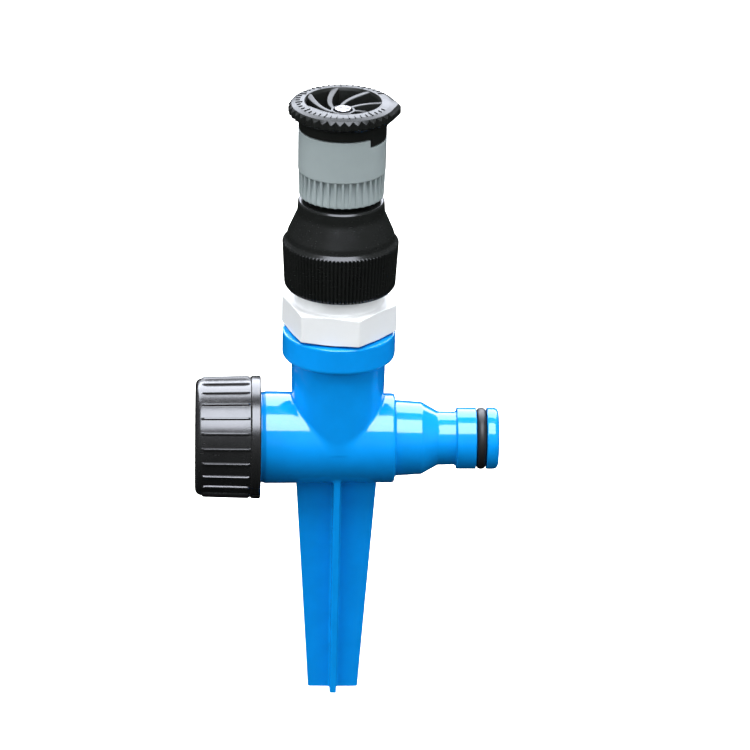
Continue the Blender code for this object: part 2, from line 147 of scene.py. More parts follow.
def moulded(name, colour, roughness, shade, bump, specular=0.5, grain=900.0, metallic=0.0):
    """Moulded plastic: a slow drift of shade, a fine grain, and a few handling scratches.

    shade is how far the colour drifts, bump the height of the grain in millimetres, and grain how
    many of its cells there are to the metre."""
    material = bpy.data.materials.new(name)
    material.use_nodes = True
    nodes, links = material.node_tree.nodes, material.node_tree.links
    shader = nodes["Principled BSDF"]
    shader.inputs["Metallic"].default_value = metallic
    shader.inputs["Specular IOR Level"].default_value = specular
    place = nodes.new("ShaderNodeTexCoord").outputs["Object"]

    def noise(scale, detail, where=place):
        texture = nodes.new("ShaderNodeTexNoise")
        texture.inputs["Scale"].default_value = scale
        texture.inputs["Detail"].default_value = detail
        links.new(where, texture.inputs["Vector"])
        return texture.outputs["Fac"]

    def remap(value, low, high, new_low, new_high):
        ranged = nodes.new("ShaderNodeMapRange")
        links.new(value, ranged.inputs["Value"])
        limits = {"From Min": low, "From Max": high, "To Min": new_low, "To Max": new_high}
        for socket, number in limits.items():
            ranged.inputs[socket].default_value = number
        return ranged.outputs["Result"]

    drift = nodes.new("ShaderNodeMix")
    drift.data_type = "RGBA"
    darker = [channel * (1 - shade) for channel in colour]
    lighter = [min(1.0, channel * (1 + shade)) for channel in colour]
    drift.inputs["A"].default_value = (*darker, 1)
    drift.inputs["B"].default_value = (*lighter, 1)
    links.new(remap(noise(SHADE_CELLS, 3.0), 0.3, 0.7, 0, 1), drift.inputs["Factor"])
    links.new(drift.outputs["Result"], shader.inputs["Base Color"])

    stretch = nodes.new("ShaderNodeMapping")
    stretch.inputs["Rotation"].default_value = (0.5, 0.8, 0.3)
    stretch.inputs["Scale"].default_value = (1.0, SCRATCH_STRETCH, SCRATCH_STRETCH)
    links.new(place, stretch.inputs["Vector"])
    scratches = remap(noise(SCRATCH_CELLS, 2.0, stretch.outputs["Vector"]), 0.66, 0.72, 0, 1)
    smoothest, roughest = roughness * (1 - GLOSS_SPREAD), roughness * (1 + GLOSS_SPREAD)
    gloss = remap(noise(GLOSS_CELLS, 4.0), 0.3, 0.7, smoothest, roughest)
    rough = nodes.new("ShaderNodeMath")
    rough.operation = "MULTIPLY_ADD"
    rough.inputs[1].default_value = SCRATCH_ROUGHNESS
    links.new(scratches, rough.inputs[0])
    links.new(gloss, rough.inputs[2])
    links.new(rough.outputs["Value"], shader.inputs["Roughness"])

    relief = nodes.new("ShaderNodeBump")
    relief.inputs["Strength"].default_value = 1.0
    relief.inputs["Distance"].default_value = bump * MM
    links.new(noise(grain, 3.0), relief.inputs["Height"])
    links.new(relief.outputs["Normal"], shader.inputs["Normal"])
    return material


BLUE = moulded("blue_moulding", (0.0022, 0.262, 0.76), 0.10, 0.05, 0.010, specular=0.7, grain=500.0)
BLACK = moulded("black_moulding", (0.0085, 0.0095, 0.0088), 0.34, 0.12, 0.012, specular=0.45)
ADAPTER_BLACK = moulded("black_adapter_moulding", (0.0085, 0.0095, 0.0092), 0.24, 0.12, 0.008)
CAP_BLACK = moulded("black_cap_moulding", (0.012, 0.0125, 0.0130), 0.24, 0.12, 0.008, specular=0.95)
GREY = moulded("grey_moulding", (0.285, 0.335, 0.345), 0.42, 0.03, 0.012, specular=0.4)
WHITE = moulded("white_moulding", (0.715, 0.735, 0.748), 0.36, 0.015, 0.012, specular=0.4)
NATURAL = moulded("natural_acetal", (0.70, 0.68, 0.60), 0.45, 0.03, 0.010)
RUBBER = moulded("nitrile_rubber", (0.012, 0.012, 0.013), 0.42, 0.15, 0.008, specular=0.4, grain=1500.0)
STEEL = moulded("stainless_steel", (0.40, 0.40, 0.41), 0.26, 0.08, 0.003, grain=2500.0, metallic=1.0)


# ---- Pieces ----


def new_piece(name, vertices, faces, material, body, slot, *nodes, sharp=40):
    """A piece from vertices in millimetres, which rides on body and stands for the CAD nodes."""
    mesh = bpy.data.meshes.new(name)
    mesh.from_pydata((np.asarray(vertices, float) * MM).tolist(), [], faces)
    tidy = bmesh.new()
    tidy.from_mesh(mesh)
    bmesh.ops.remove_doubles(tidy, verts=tidy.verts[:], dist=2e-6)
    bmesh.ops.dissolve_degenerate(tidy, edges=tidy.edges[:], dist=1e-6)
    bmesh.ops.recalc_face_normals(tidy, faces=tidy.faces[:])
    tidy.to_mesh(mesh)
    tidy.free()
    piece = bpy.data.objects.new(name, mesh)
    bpy.context.scene.collection.objects.link(piece)
    mesh.materials.append(material)
    mesh.shade_smooth()
    mesh.set_sharp_from_angle(angle=math.radians(sharp))
    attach(piece, body)
    if nodes:
        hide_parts(*nodes)
    return piece


def weighted(piece):
    """Shades flat faces flat, up to the rounded edges between them."""
    modifier = piece.modifiers.new("Weighted", "WEIGHTED_NORMAL")
    modifier.keep_sharp = True


def rounded(points, steps):
    """A profile whose corners are rounded, each in that many steps. A point is (radius, height) or
    (radius, height, rounding)."""
    path = []
    count = len(points)
    for i, point in enumerate(points):
        here = np.array(point[:2], float)
        rounding = point[2] if len(point) > 2 else 0
        if not rounding:
            path.append(here)
            continue
        back = np.array(points[i - 1][:2], float) - here
        ahead = np.array(points[(i + 1) % count][:2], float) - here
        back_length, ahead_length = np.linalg.norm(back), np.linalg.norm(ahead)
        back /= max(back_length, 1e-9)
        ahead /= max(ahead_length, 1e-9)
        turn = math.pi - math.acos(float(np.clip(back @ ahead, -1, 1)))
        reach = min(rounding * math.tan(turn / 2), 0.48 * back_length, 0.48 * ahead_length)
        for step in range(steps + 1):
            t = step / steps
            path.append(here + reach * (back * (1 - t) ** 2 + ahead * t**2))
    return np.array(path)


def fine(profile, step):
    """The profile with points added, none further apart than step."""
    path = [profile[0]]
    for a, b in zip(profile[:-1], profile[1:]):
        pieces = max(1, math.ceil(np.linalg.norm(b - a) / step))
        path += [a + (b - a) * i / pieces for i in range(1, pieces + 1)]
    return np.array(path)


def spun(profile, angles, relief=None, closed=False):
    """Vertices and faces of a profile turned about Z. The profile is an array, or a function of
    the angle; relief gives what is added to each point's radius."""
    rings = []
    for angle in angles:
        ring = np.array(profile(angle) if callable(profile) else profile, float)
        if relief is not None:
            ring[:, 0] += relief(angle, ring)
        rings.append(ring)
    rings = np.array(rings)
    turned = np.stack(
        [
            rings[..., 0] * np.cos(angles)[:, None],
            rings[..., 0] * np.sin(angles)[:, None],
            rings[..., 1],
        ],
        axis=-1,
    )
    return turned.reshape(-1, 3), grid_faces(len(angles), rings.shape[1], True, closed)


def grid_faces(rows, columns, close_rows, close_columns):
    """The quads between rows of vertices, and round each end if it is closed that way."""
    index = np.arange(rows * columns).reshape(rows, columns)
    if close_rows:
        index = np.vstack([index, index[:1]])
    if close_columns:
        index = np.hstack([index, index[:, :1]])
    quads = np.stack([index[:-1, :-1], index[1:, :-1], index[1:, 1:], index[:-1, 1:]], axis=-1)
    return quads.reshape(-1, 4).tolist()


def around(count, offsets):
    """Angles for count teeth, each with the same offsets from its middle in tooth pitches."""
    pitch = math.tau / count
    return np.sort(np.concatenate([pitch * (i + np.asarray(offsets)) for i in range(count)]))


def even(count):
    """Evenly spaced angles."""
    return np.arange(count) * math.tau / count


def along_barrel(vertices):
    """From a frame whose +Z points out through the cap to the object's own frame."""
    x, y, z = vertices.T
    return np.stack([-z, y, x + BARREL_Z], axis=-1)


def smooth_step(value, low, high):
    """0 below low and 1 above high, with a smooth rise between them."""
    t = np.clip((value - low) / (high - low), 0, 1)
    return t * t * (3 - 2 * t)


def tooth_offset(angle, count):
    """How far an angle is from its tooth's middle, in tooth pitches from -0.5 to 0.5."""
    return (angle * count / math.tau + 0.5) % 1 - 0.5


def between(heights, low, high, soft):
    """1 between low and high and 0 outside, with a soft step at each end."""
    return smooth_step(heights, low, low + soft) * (1 - smooth_step(heights, high - soft, high))


def thread(angle, heights, pitch, low, high, depth):
    """The height of a right-handed thread's ridge, faded in and out at its ends."""
    phase = (heights / pitch - angle / math.tau) % 1
    ridge = np.clip(1.5 - np.abs(phase - 0.5) * 5, 0, 1)
    return depth * ridge * between(heights, low, high, pitch)


def helix(root, low, high, pitch, section, per_turn, taper, sink):
    """A ridge wound round +Z from low to high, on a cylinder of radius root.

    section is the ridge's four corners as (along, out) from its middle. The ridge tapers off and
    sinks into the cylinder over the first and the last 1/taper of its length."""
    section = np.array(section)
    steps = int((high - low) / pitch * per_turn)
    rings = []
    for i in range(steps + 1):
        t = i / steps
        angle = (high - low) / pitch * t * math.tau
        size = min(1, taper * t, taper * (1 - t)) ** 0.5
        radius = root + section[:, 1] * size - sink * (1 - size)
        height = low + (high - low) * t + section[:, 0] * size
        rings.append(np.stack([radius * math.cos(angle), radius * math.sin(angle), height], axis=-1))
    faces = grid_faces(steps + 1, 4, False, True)
    faces += [[3, 2, 1, 0], [4 * steps + i for i in range(4)]]
    return np.concatenate(rings), faces


# ---- The blue moulding, as a smooth solid ----


def to_polygon(points, polygon):
    """Distances of 2-D points from a closed polygon, below 0 inside, and which way they grow."""
    best = np.full(len(points), np.inf)
    offset = np.zeros_like(points)
    outward = np.zeros_like(points)
    inside = np.zeros(len(points), bool)
    x, y = points.T
    ends = np.roll(polygon, -1, axis=0)
    area = np.sum(polygon[:, 0] * ends[:, 1] - ends[:, 0] * polygon[:, 1])
    for a, b in zip(polygon, ends):
        edge = b - a
        length = edge @ edge
        if length < 1e-12:
            continue
        t = np.clip(((x - a[0]) * edge[0] + (y - a[1]) * edge[1]) / length, 0, 1)
        gap = np.stack([x - a[0] - edge[0] * t, y - a[1] - edge[1] * t], axis=-1)
        squared = (gap**2).sum(axis=1)
        closer = squared < best
        best[closer] = squared[closer]
        offset[closer] = gap[closer]
        outward[closer] = np.array([edge[1], -edge[0]]) / math.sqrt(length) * math.copysign(1, area)
        if a[1] != b[1]:
            crosses = ((a[1] > y) != (b[1] > y)) & (x < edge[0] * (y - a[1]) / edge[1] + a[0])
            inside ^= crosses
    distance = np.sqrt(best)
    sign = np.where(inside, -1.0, 1.0)
    near = distance < 1e-4
    gradient = offset / np.maximum(distance, 1e-9)[:, None] * sign[:, None]
    gradient[near] = outward[near]
    return distance * sign, gradient


def turned_solid(points, profile, along, height):
    """Distance from a profile turned about Z, or about the barrel's axis if along is set. The
    profile runs from the axis to the axis."""
    mirrored = np.concatenate([profile, profile[::-1] * (-1, 1)])
    if along:
        centre, across, other = points[:, 0], points[:, 1], points[:, 2] - height
    else:
        centre, across, other = points[:, 2], points[:, 0], points[:, 1]
    radius = np.hypot(across, other)
    distance, slope = to_polygon(np.stack([radius, centre], axis=-1), mirrored)
    unit = np.stack([across, other], axis=-1) / np.maximum(radius, 1e-9)[:, None]
    away = unit * slope[:, :1]
    if along:
        return distance, np.stack([slope[:, 1], away[:, 0], away[:, 1]], axis=-1)
    return distance, np.stack([away[:, 0], away[:, 1], slope[:, 1]], axis=-1)


def blade_solid(points, outline, half_thickness, turn, rounding):
    """A flat blade standing on Z, with rounded edges. turn is set for the one that faces X."""
    x, y, z = points.T
    wide, thick = (y, x) if turn else (x, y)
    flat, slope = to_polygon(np.stack([wide, z], axis=-1), outline)
    flat = flat + rounding
    deep = np.abs(thick) - half_thickness(z) + rounding
    both = (flat > 0) & (deep > 0)
    corner = np.hypot(np.maximum(flat, 0), np.maximum(deep, 0))
    distance = np.where(both, corner, np.maximum(flat, deep)) - rounding
    share = np.where(both, flat / np.maximum(corner, 1e-9), (flat > deep).astype(float))
    rest = np.where(both, deep / np.maximum(corner, 1e-9), (flat <= deep).astype(float))
    sideways = slope[:, 0] * share
    through = np.sign(thick) * rest
    upward = slope[:, 1] * share
    if turn:
        return distance, np.stack([through, sideways, upward], axis=-1)
    return distance, np.stack([sideways, through, upward], axis=-1)


def blended(first, second, radius):
    """The union of two solids, with a fillet of about that radius where they meet."""
    (a, slope_a), (b, slope_b) = first, second
    share = np.clip(0.5 + 0.5 * (b - a) / radius, 0, 1)
    distance = b + (a - b) * share - radius * share * (1 - share)
    return distance, slope_b + (slope_a - slope_b) * share[:, None]


def hollowed(solid, tool, radius):
    """The first solid with the second taken out, and a small edge radius where they cross."""
    (a, slope_a), (b, slope_b) = solid, tool
    distance, slope = blended((-a, -slope_a), (b, slope_b), radius)
    return -distance, -slope


def spike_profiles():
    """The barrel, the riser, and the bores that are taken out of each."""
    nose = 2.4
    barrel = [(0, -BARREL_END), (TUBE, -BARREL_END, 0.7), (TUBE, -CAP_START - 0.4, 0.3)]
    barrel += [(11.65, -CAP_START, 0.2), (12.0, -CAP_START + 1.3, 0.15)]
    barrel += [(11.62, BARREL_STEP, 1.7), (9.9, BARREL_STEP, 0.35), (9.4, BARREL_STEP + 7, 0.7)]
    barrel += [(7.0, 26.2, 1.2), (6.9, 31.0, 0.3), (TAIL, 31.0, 0.35), (TAIL, 36.15, 0.25)]
    barrel += [(5.9, 36.15), (5.9, 38.85), (TAIL, 38.85, 0.25), (TAIL, TAIL_END, nose), (0, TAIL_END)]
    riser = [(0, BARREL_Z), (11.7, BARREL_Z), (TUBE, SOCKET_BOTTOM, 0.5)]
    riser += [(SOCKET, SOCKET_BOTTOM, 1.1), (SOCKET, SOCKET_TOP, 0.45), (0, SOCKET_TOP)]
    waterway = [(0, -BARREL_END - 2), (9.0, -BARREL_END - 2), (9.0, 10.5, 2), (4.5, 14.0, 2)]
    waterway += [(4.5, TAIL_END - 0.8, 0.5), (5.3, TAIL_END + 0.2), (5.3, TAIL_END + 2)]
    waterway += [(0, TAIL_END + 2)]
    well = [(0, BARREL_Z), (7.5, BARREL_Z), (7.5, BARREL_Z + 11.4), (10.7, BARREL_Z + 13.4)]
    well += [(10.7, SOCKET_TOP - 1.4), (12.0, SOCKET_TOP - 1.4), (12.0, SOCKET_TOP + 2)]
    well += [(0, SOCKET_TOP + 2)]
    return [rounded(profile, 8) for profile in (barrel, riser, waterway, well)]


def blade_outline(half_width, top):
    """A blade that tapers slowly from top, then runs to a point. half_width is at the ground."""
    taper = half_width * 0.01016
    knee = SPIKE_TIP + 12
    side = [(half_width + taper * top, top), (half_width + taper * knee, knee)]
    side += [(0.9, SPIKE_TIP + 0.6), (0.45, SPIKE_TIP)]
    return np.array(side + [(-x, y) for x, y in reversed(side)])


BARREL, RISER, WATERWAY, WELL = spike_profiles()
WIDE_BLADE = blade_outline(6.6, BARREL_Z - 10.4)
DEEP_BLADE = blade_outline(5.1, BARREL_Z - 5.0)


def spike_solid(points):
    """The blue moulding: a distance for each point, and which way it grows."""
    tube = turned_solid(points, BARREL, True, BARREL_Z)
    riser = turned_solid(points, RISER, False, 0)
    wide = blade_solid(points, WIDE_BLADE, lambda z: 0.82 + 0.0022 * (z - SPIKE_TIP), False, 0.3)
    deep = blade_solid(points, DEEP_BLADE, lambda z: 0.70 + 0.0016 * (z - SPIKE_TIP), True, 0.3)
    solid = blended(tube, riser, 0.5)
    spike = blended(wide, deep, 0.9)
    solid = blended(solid, spike, 0.8)
    solid = hollowed(solid, turned_solid(points, WATERWAY, True, BARREL_Z), 0.3)
    return hollowed(solid, turned_solid(points, WELL, False, 0), 0.3)


def remeshed(node, voxel):
    """A CAD node's shape as an even grid of small quads, in millimetres."""
    copy = bpy.data.objects.new("remeshed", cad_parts[node].data.copy())
    bpy.context.scene.collection.objects.link(copy)
    modifier = copy.modifiers.new("Voxels", "REMESH")
    modifier.mode = "VOXEL"
    modifier.voxel_size = voxel * MM
    bpy.context.view_layer.update()
    graph = bpy.context.evaluated_depsgraph_get()
    mesh = bpy.data.meshes.new_from_object(copy.evaluated_get(graph))
    vertices = np.zeros(len(mesh.vertices) * 3)
    mesh.vertices.foreach_get("co", vertices)
    faces = np.zeros(len(mesh.loops), int)
    mesh.loops.foreach_get("vertex_index", faces)
    assert len(mesh.loops) == 4 * len(mesh.polygons)
    bpy.data.objects.remove(copy)
    bpy.data.meshes.remove(mesh)
    return vertices.reshape(-1, 3) / MM, faces.reshape(-1, 4)


def evened(vertices, faces, slopes):
    """Vertices moved towards their neighbours' middle, but only along the surface."""
    total = np.zeros_like(vertices)
    count = np.zeros(len(vertices))
    for a, b in ((0, 1), (1, 2), (2, 3), (3, 0)):
        for here, there in ((a, b), (b, a)):
            np.add.at(total, faces[:, here], vertices[faces[:, there]])
            np.add.at(count, faces[:, here], 1)
    shift = total / count[:, None] - vertices
    normal = slopes / np.linalg.norm(slopes, axis=1)[:, None]
    shift -= normal * (shift * normal).sum(axis=1)[:, None]
    return vertices + 0.5 * shift


def settled(vertices, passes):
    """Vertices moved onto the blue moulding's surface, with its slope at each."""
    for _ in range(passes):
        distance, slope = spike_solid(vertices)
        step = np.clip(distance / np.maximum((slope**2).sum(axis=1), 0.3), -0.25, 0.25)
        vertices = vertices - slope * step[:, None]
    return vertices, spike_solid(vertices)[1]


def spike_body():
    """The blue moulding, as even quads that are drawn onto the surface of its smooth solid."""
    voxel = 0.42
    vertices, faces = remeshed("spike_body", voxel)
    vertices, slopes = settled(vertices, 3)
    for _ in range(3):
        vertices, slopes = settled(evened(vertices, faces, slopes), 1)
    vertices, slopes = settled(vertices, 2)
    mesh = bpy.data.meshes.new("blue_body")
    mesh.from_pydata((vertices * MM).tolist(), [], faces.tolist())
    mesh.shade_smooth()
    _, slopes = spike_solid(vertices + 0.03 * slopes)
    normals = slopes / np.maximum(np.linalg.norm(slopes, axis=1), 1e-9)[:, None]
    mesh.normals_split_custom_set_from_vertices(normals.tolist())
    mesh.materials.append(BLUE)
    piece = bpy.data.objects.new("blue_body", mesh)
    bpy.context.scene.collection.objects.link(piece)
    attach(piece, "ground_spike")
    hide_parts("spike_body")


def barrel_thread():
    """The helical ridge that the cap screws onto, sunk a little into the barrel."""
    section = [(-0.55, -0.25), (-0.18, 0.58), (0.18, 0.58), (0.55, -0.25)]
    low, high = CAP_START + 1.2, BARREL_END - 1.0
    vertices, faces = helix(TUBE, low, high, HALF_INCH_PITCH, section, 96, 12, 0.3)
    vertices = along_barrel(vertices)
    new_piece("barrel_thread", vertices, faces, BLUE, "ground_spike", "blue_plastic")


def tail_o_ring():
    """The O-ring in its groove, a little squeezed between its walls."""
    turns = np.linspace(0, math.tau, 24, endpoint=False)
    section = np.stack([6.93 + 1.12 * np.cos(turns), -37.5 + 1.25 * np.sin(turns)], axis=-1)
    vertices, faces = spun(section, even(96), closed=True)
    vertices = along_barrel(vertices)
    new_piece("o_ring", vertices, faces, RUBBER, "ground_spike", "rubber", "tail_o_ring")


def end_cap():
    """The screw cap: a plain band, and raised ribs between it and the rounded end."""
    floor = CAP_END - 2.4
    band = CAP_START + 2.4
    dished = CAP_END - 0.45
    profile = [(0, dished), (3.0, dished), (10.6, dished, 0.5)]
    profile += [(11.2, CAP_END, 0.4), (15.2, CAP_END, 3.3), (15.55, band + 0.25, 0.3)]
    profile += [(CAP_RIM, band, 0.3), (CAP_RIM, CAP_START, 0.5), (12.9, CAP_START, 0.3)]
    profile += [(12.9, CAP_START + 0.9), (13.3, CAP_START + 1.2), (13.3, floor, 0.5), (0, floor)]
    profile = fine(rounded(profile, 7), 0.35)
    low, high = band + 0.6, CAP_END - 2.1
    rib_height, dish_depth, thread_depth = 0.42, 0.10, 0.4

    def relief(angle, ring):
        radius, height = ring.T
        outside = radius > 14.6
        rib = 1 - smooth_step(abs(tooth_offset(angle - CAP_TURN, CAP_RIBS)), 0.045, 0.095)
        ribs = rib_height * rib * between(height, low - 0.3, high + 0.5, 0.6) * outside
        dish = -dish_depth * (1 - rib) * between(height, low, high, 1.5) * outside
        inside = (radius > 13.2) & (radius < 13.4)
        female = thread(angle, height, HALF_INCH_PITCH, band - 1, floor - 1, thread_depth)
        return ribs + dish + female * inside

    on_rib = np.linspace(-0.11, 0.11, 13)
    fractions = np.concatenate([np.linspace(-0.5, -0.13, 5), on_rib, np.linspace(0.13, 0.42, 4)])
    vertices, faces = spun(profile, around(CAP_RIBS, fractions) + CAP_TURN, relief)
    piece = new_piece("cap", along_barrel(vertices), faces, CAP_BLACK, "cap", "black_plastic", "end_cap")
    weighted(piece)


# ---- The nipple and the adapter ----


def hex_radius(angle, flat, rounding):
    """Distance from the axis to a hexagon whose corners are rounded."""
    off_corner = (angle - HEX_TURN) % (math.pi / 3)
    off_corner = min(off_corner, math.pi / 3 - off_corner)
    centre = (flat - rounding) / math.cos(math.pi / 6)
    edge = math.atan2(rounding * 0.5, centre + rounding * math.cos(math.pi / 6))
    if off_corner < edge:
        across = centre * math.sin(off_corner)
        return centre * math.cos(off_corner) + math.sqrt(rounding**2 - across**2)
    return flat / math.cos(math.pi / 6 - off_corner)


def hex_nipple():
    """A hex between two male threads."""
    flat = 13.1  # half of the distance across the flats
    corner = flat / math.cos(math.pi / 6)
    boss = 11.4
    male = MALE_THREAD
    bore = 6.5
    low, high = NIPPLE_LOW.z, NIPPLE_END

    def profile(angle):
        radius = hex_radius(angle, flat, 0.7)
        top = HEX_TOP - 0.02 - 0.15 * (radius - flat) / (corner - flat)
        bottom = HEX_BOTTOM + 0.02 + 0.2 * (radius - flat) / (corner - flat)
        outer = [(bore, high, 0.3), (male - 0.7, high, 0.2), (male, high - 0.9, 0.2)]
        outer += [(male, BOSS_TOP + 0.6), (male, BOSS_TOP, 0.2), (boss, BOSS_TOP, 0.5)]
        outer += [(boss, HEX_TOP, 0.7), (flat - 0.1, HEX_TOP, 0.25), (radius, top, 0.3)]
        outer += [(radius, bottom, 0.3), (flat - 0.1, HEX_BOTTOM, 0.2)]
        outer += [(male, HEX_BOTTOM, 0.2), (male, low + 1), (male - 0.7, low), (bore, low, 0.3)]
        return rounded(outer, 4)

    near = np.linspace(-4, 4, 17)
    extra = [HEX_TURN + math.radians(60 * i + step) for i in range(6) for step in near]
    angles = np.sort(np.concatenate([even(360), np.array(extra) % math.tau]))
    vertices, faces = spun(profile, angles, closed=True)
    rides = WHITE, "ground_spike", "white_plastic"
    weighted(new_piece("white_nipple", vertices, faces, *rides, "hex_nipple", sharp=50))
    male_thread("nipple_thread", male, BOSS_TOP + 0.7, high - 1.2, HALF_INCH_PITCH, 0.75, *rides)


def male_thread(name, root, low, high, pitch, depth, material, body, slot):
    """A helical ridge about Z, sunk a little into the cylinder that it stands on."""
    half = pitch * 0.3
    crest = half * 0.33
    section = [(-half, -0.2), (-crest, depth), (crest, depth), (half, -0.2)]
    vertices, faces = helix(root, low, high, pitch, section, 80, 10, 0.25)
    new_piece(name, vertices, faces, material, body, slot)


def shrub_adapter():
    """The knurled skirt, the bell above it, and the threaded stub that holds the nozzle."""
    shoulder = BOSS_TOP + 14.6
    bore, well = 6.0, 10.75
    knurl_depth, thread_depth = 0.55, 0.45
    profile = [(bore, STUB_TOP, 0.3), (STUB, STUB_TOP, 0.4), (STUB, NECK_TOP, 0.3)]
    profile += [(10.4, NECK_TOP, 0.1), (10.78, NECK_TOP - 0.06, 0.1), (11.13, NECK_TOP - 0.5, 0.15)]
    profile += [(11.3, NECK_BOTTOM + 1.4, 4.0), (13.7, SKIRT_TOP + 2.4, 3.0)]
    profile += [(13.98, SKIRT_TOP + 1.0, 0.8), (14.5, SKIRT_TOP + 0.35, 0.3)]
    profile += [(SKIRT, SKIRT_TOP - 0.15, 0.12), (14.35, SKIRT_BOTTOM + 0.9, 0.9)]
    profile += [(13.75, SKIRT_BOTTOM, 0.4), (11.7, SKIRT_BOTTOM, 0.3), (well, SKIRT_BOTTOM + 1)]
    profile += [(well, shoulder, 0.3), (bore, shoulder, 0.3)]
    profile = rounded(profile, 7)
    profile = fine(np.concatenate([profile, profile[:1]]), 0.4)[:-1]

    def relief(angle, ring):
        radius, height = ring.T
        groove = smooth_step(abs(tooth_offset(angle, KNURLS)), 0.12, 0.5)
        outside = (radius > 13.6) & (height < SKIRT_TOP + 0.05)
        skirt = between(height, SKIRT_BOTTOM - 0.2, SKIRT_TOP + 0.2, 0.2)
        knurls = -knurl_depth * groove * skirt * outside
        inside = (radius > 10.5) & (radius < 10.9)
        low, high = SKIRT_BOTTOM + 0.5, shoulder - 1
        female = thread(angle, height, HALF_INCH_PITCH, low, high, thread_depth)
        return knurls + female * inside

    fractions = np.linspace(-0.5, 0.5, 8, endpoint=False)
    vertices, faces = spun(profile, around(KNURLS, fractions), relief, closed=True)
    rides = ADAPTER_BLACK, "adapter", "black_plastic"
    weighted(new_piece("adapter", vertices, faces, *rides, "shrub_adapter", sharp=55))
    male_thread("adapter_thread", STUB, NECK_TOP + 0.6, STUB_TOP - 0.8, NOZZLE_PITCH, 0.5, *rides)


# ---- The nozzle ----

ON_RING = BLACK, "arc_ring", "black_plastic"


def within(angle, start, end):
    """Whether an angle is between two others, going counterclockwise."""
    return (angle - start) % math.tau < end - start


def edge_angles(angles, *edges):
    """The angles with a close pair added at each edge, so that a step there is upright."""
    pairs = [edge + side for edge in edges for side in (-0.002, 0.002)]
    return np.sort(np.concatenate([angles, pairs]) % math.tau)


def nozzle_base():
    """The grey body: fluted grip, plain band, and a recess in its rim for the ring's tab."""
    chamber, throat, thread_bore = 8.3, 3.2, 8.6
    rim, grip = 9.3, 11.12
    grip_height = GRIP_TOP - BASE_BOTTOM - 0.6
    rib_edge, valley_edge = 0.14, 0.24  # in rib pitches from a rib's middle

    def profile(angle):
        step = BASE_TOP - (TAB_DROP if within(angle, RECESS_START, RECESS_END) else 0.01)
        path = [(chamber, BASE_TOP, 0.15), (rim, BASE_TOP, 0.12), (rim, step, 0.1)]
        path += [(SPRAY_BODY, step, 0.18), (SPRAY_BODY, BASE_TOP - 4)]
        path += [(11.24, GRIP_TOP + 0.25, 0.3), (grip, GRIP_TOP, 0.1)]
        down = np.linspace(0, 1, 12)
        path += [(grip - 0.22 * t, GRIP_TOP - 0.1 - grip_height * t) for t in down]
        path += [(10.85, BASE_BOTTOM, 0.3), (thread_bore, BASE_BOTTOM, 0.3)]
        path += [(thread_bore, SHOULDER, 0.2), (throat, SHOULDER, 0.2)]
        path += [(throat, CHAMBER_FLOOR, 0.2), (chamber, CHAMBER_FLOOR, 0.3)]
        return rounded(path, 4)

    def relief(angle, ring):
        radius, height = ring.T
        valley = smooth_step(abs(tooth_offset(angle, GRIP_RIBS)), rib_edge, valley_edge)
        up = (height - BASE_BOTTOM - 0.5) / (GRIP_TOP - BASE_BOTTOM - 0.5)
        depth = 0.2 + 0.85 * np.clip(up, 0, 1)
        outside = (radius > 10.4) & (height < GRIP_TOP + 0.001) & (height > BASE_BOTTOM - 0.1)
        return -depth * valley * outside

    flank = np.linspace(rib_edge, valley_edge, 6)
    fractions = np.concatenate([-flank, [-0.5, -0.4, -0.31, -0.07, 0, 0.07, 0.31, 0.4], flank])
    angles = edge_angles(around(GRIP_RIBS, fractions), RECESS_START, RECESS_END)
    vertices, faces = spun(profile, angles, relief, closed=True)
    piece = new_piece("spray_body", vertices, faces, GREY, "nozzle", "grey_plastic", "nozzle_base")
    weighted(piece)


def collar_edge(angle):
    """Radius of the ring's edge at the tips of its teeth, with a beak that points along +X."""
    turn = math.acos(RING_EDGE / BEAK_TIP)
    middle = math.radians(1.5)
    off = abs((angle - middle + math.pi) % math.tau - math.pi)
    off = math.hypot(off, 0.055) - 0.03
    return RING_EDGE / math.cos(turn - off) if off < turn else RING_EDGE


def arc_collar():
    """The toothed ring on its collar, with a plain beak and a tab that drops into the recess."""
    low = COLLAR_BOTTOM
    under = RING_TOP - 2.9
    bevel = RING_TOP - 0.8
    tooth_depth = 0.75

    def profile(angle):
        edge = collar_edge(angle)
        beak = float(smooth_step(edge, RING_EDGE, 14.75))
        off_beak = abs((angle + math.pi) % math.tau - math.pi)
        plain = 1 - float(smooth_step(off_beak, 0.42, 0.62))
        valley = 1 - min(1, 2.3 * abs(0.5 - (angle * RING_TEETH / math.tau) % 1))
        notch = tooth_depth * (1 - plain) * valley
        drop = TAB_DROP if within(angle, TAB_START, TAB_END) else 0.01
        flare = (under - 1.5) * (1 - beak) + (low + 0.5) * beak
        chin = under - 0.2 - 0.2 * beak
        slope = 0.9 * (1 - notch / 0.8)
        path = [(RING_INSIDE, RING_TOP, 0.3), (12.0, ring_height(12.0), 0.8)]
        path += [(edge - 0.8, bevel, 0.4), (edge - notch, bevel - slope, 0.1)]
        path += [(edge - notch * 0.8, chin, 0.4), (11.32, flare, 1.2), (SPRAY_BODY, low - drop, 0.2)]
        path += [(9.7, low - drop, 0.1), (9.7, low), (8.4, low), (8.4, low + 1.6, 0.2)]
        path += [(9.15, low + 2.0, 0.3), (9.45, RING_TOP - 0.9, 0.3)]
        return rounded(path, 5)

    fractions = np.linspace(-0.5, 0.5, 16, endpoint=False)
    angles = edge_angles(around(RING_TEETH, fractions), TAB_START, TAB_END)
    vertices, faces = spun(profile, angles, closed=True)
    weighted(new_piece("arc_ring", vertices, faces, *ON_RING, "arc_collar", sharp=50))


def ring_height(radius):
    """Height of the ring's top surface, which falls a little towards its edge."""
    return RING_TOP - 0.12 * (radius - RING_INSIDE)


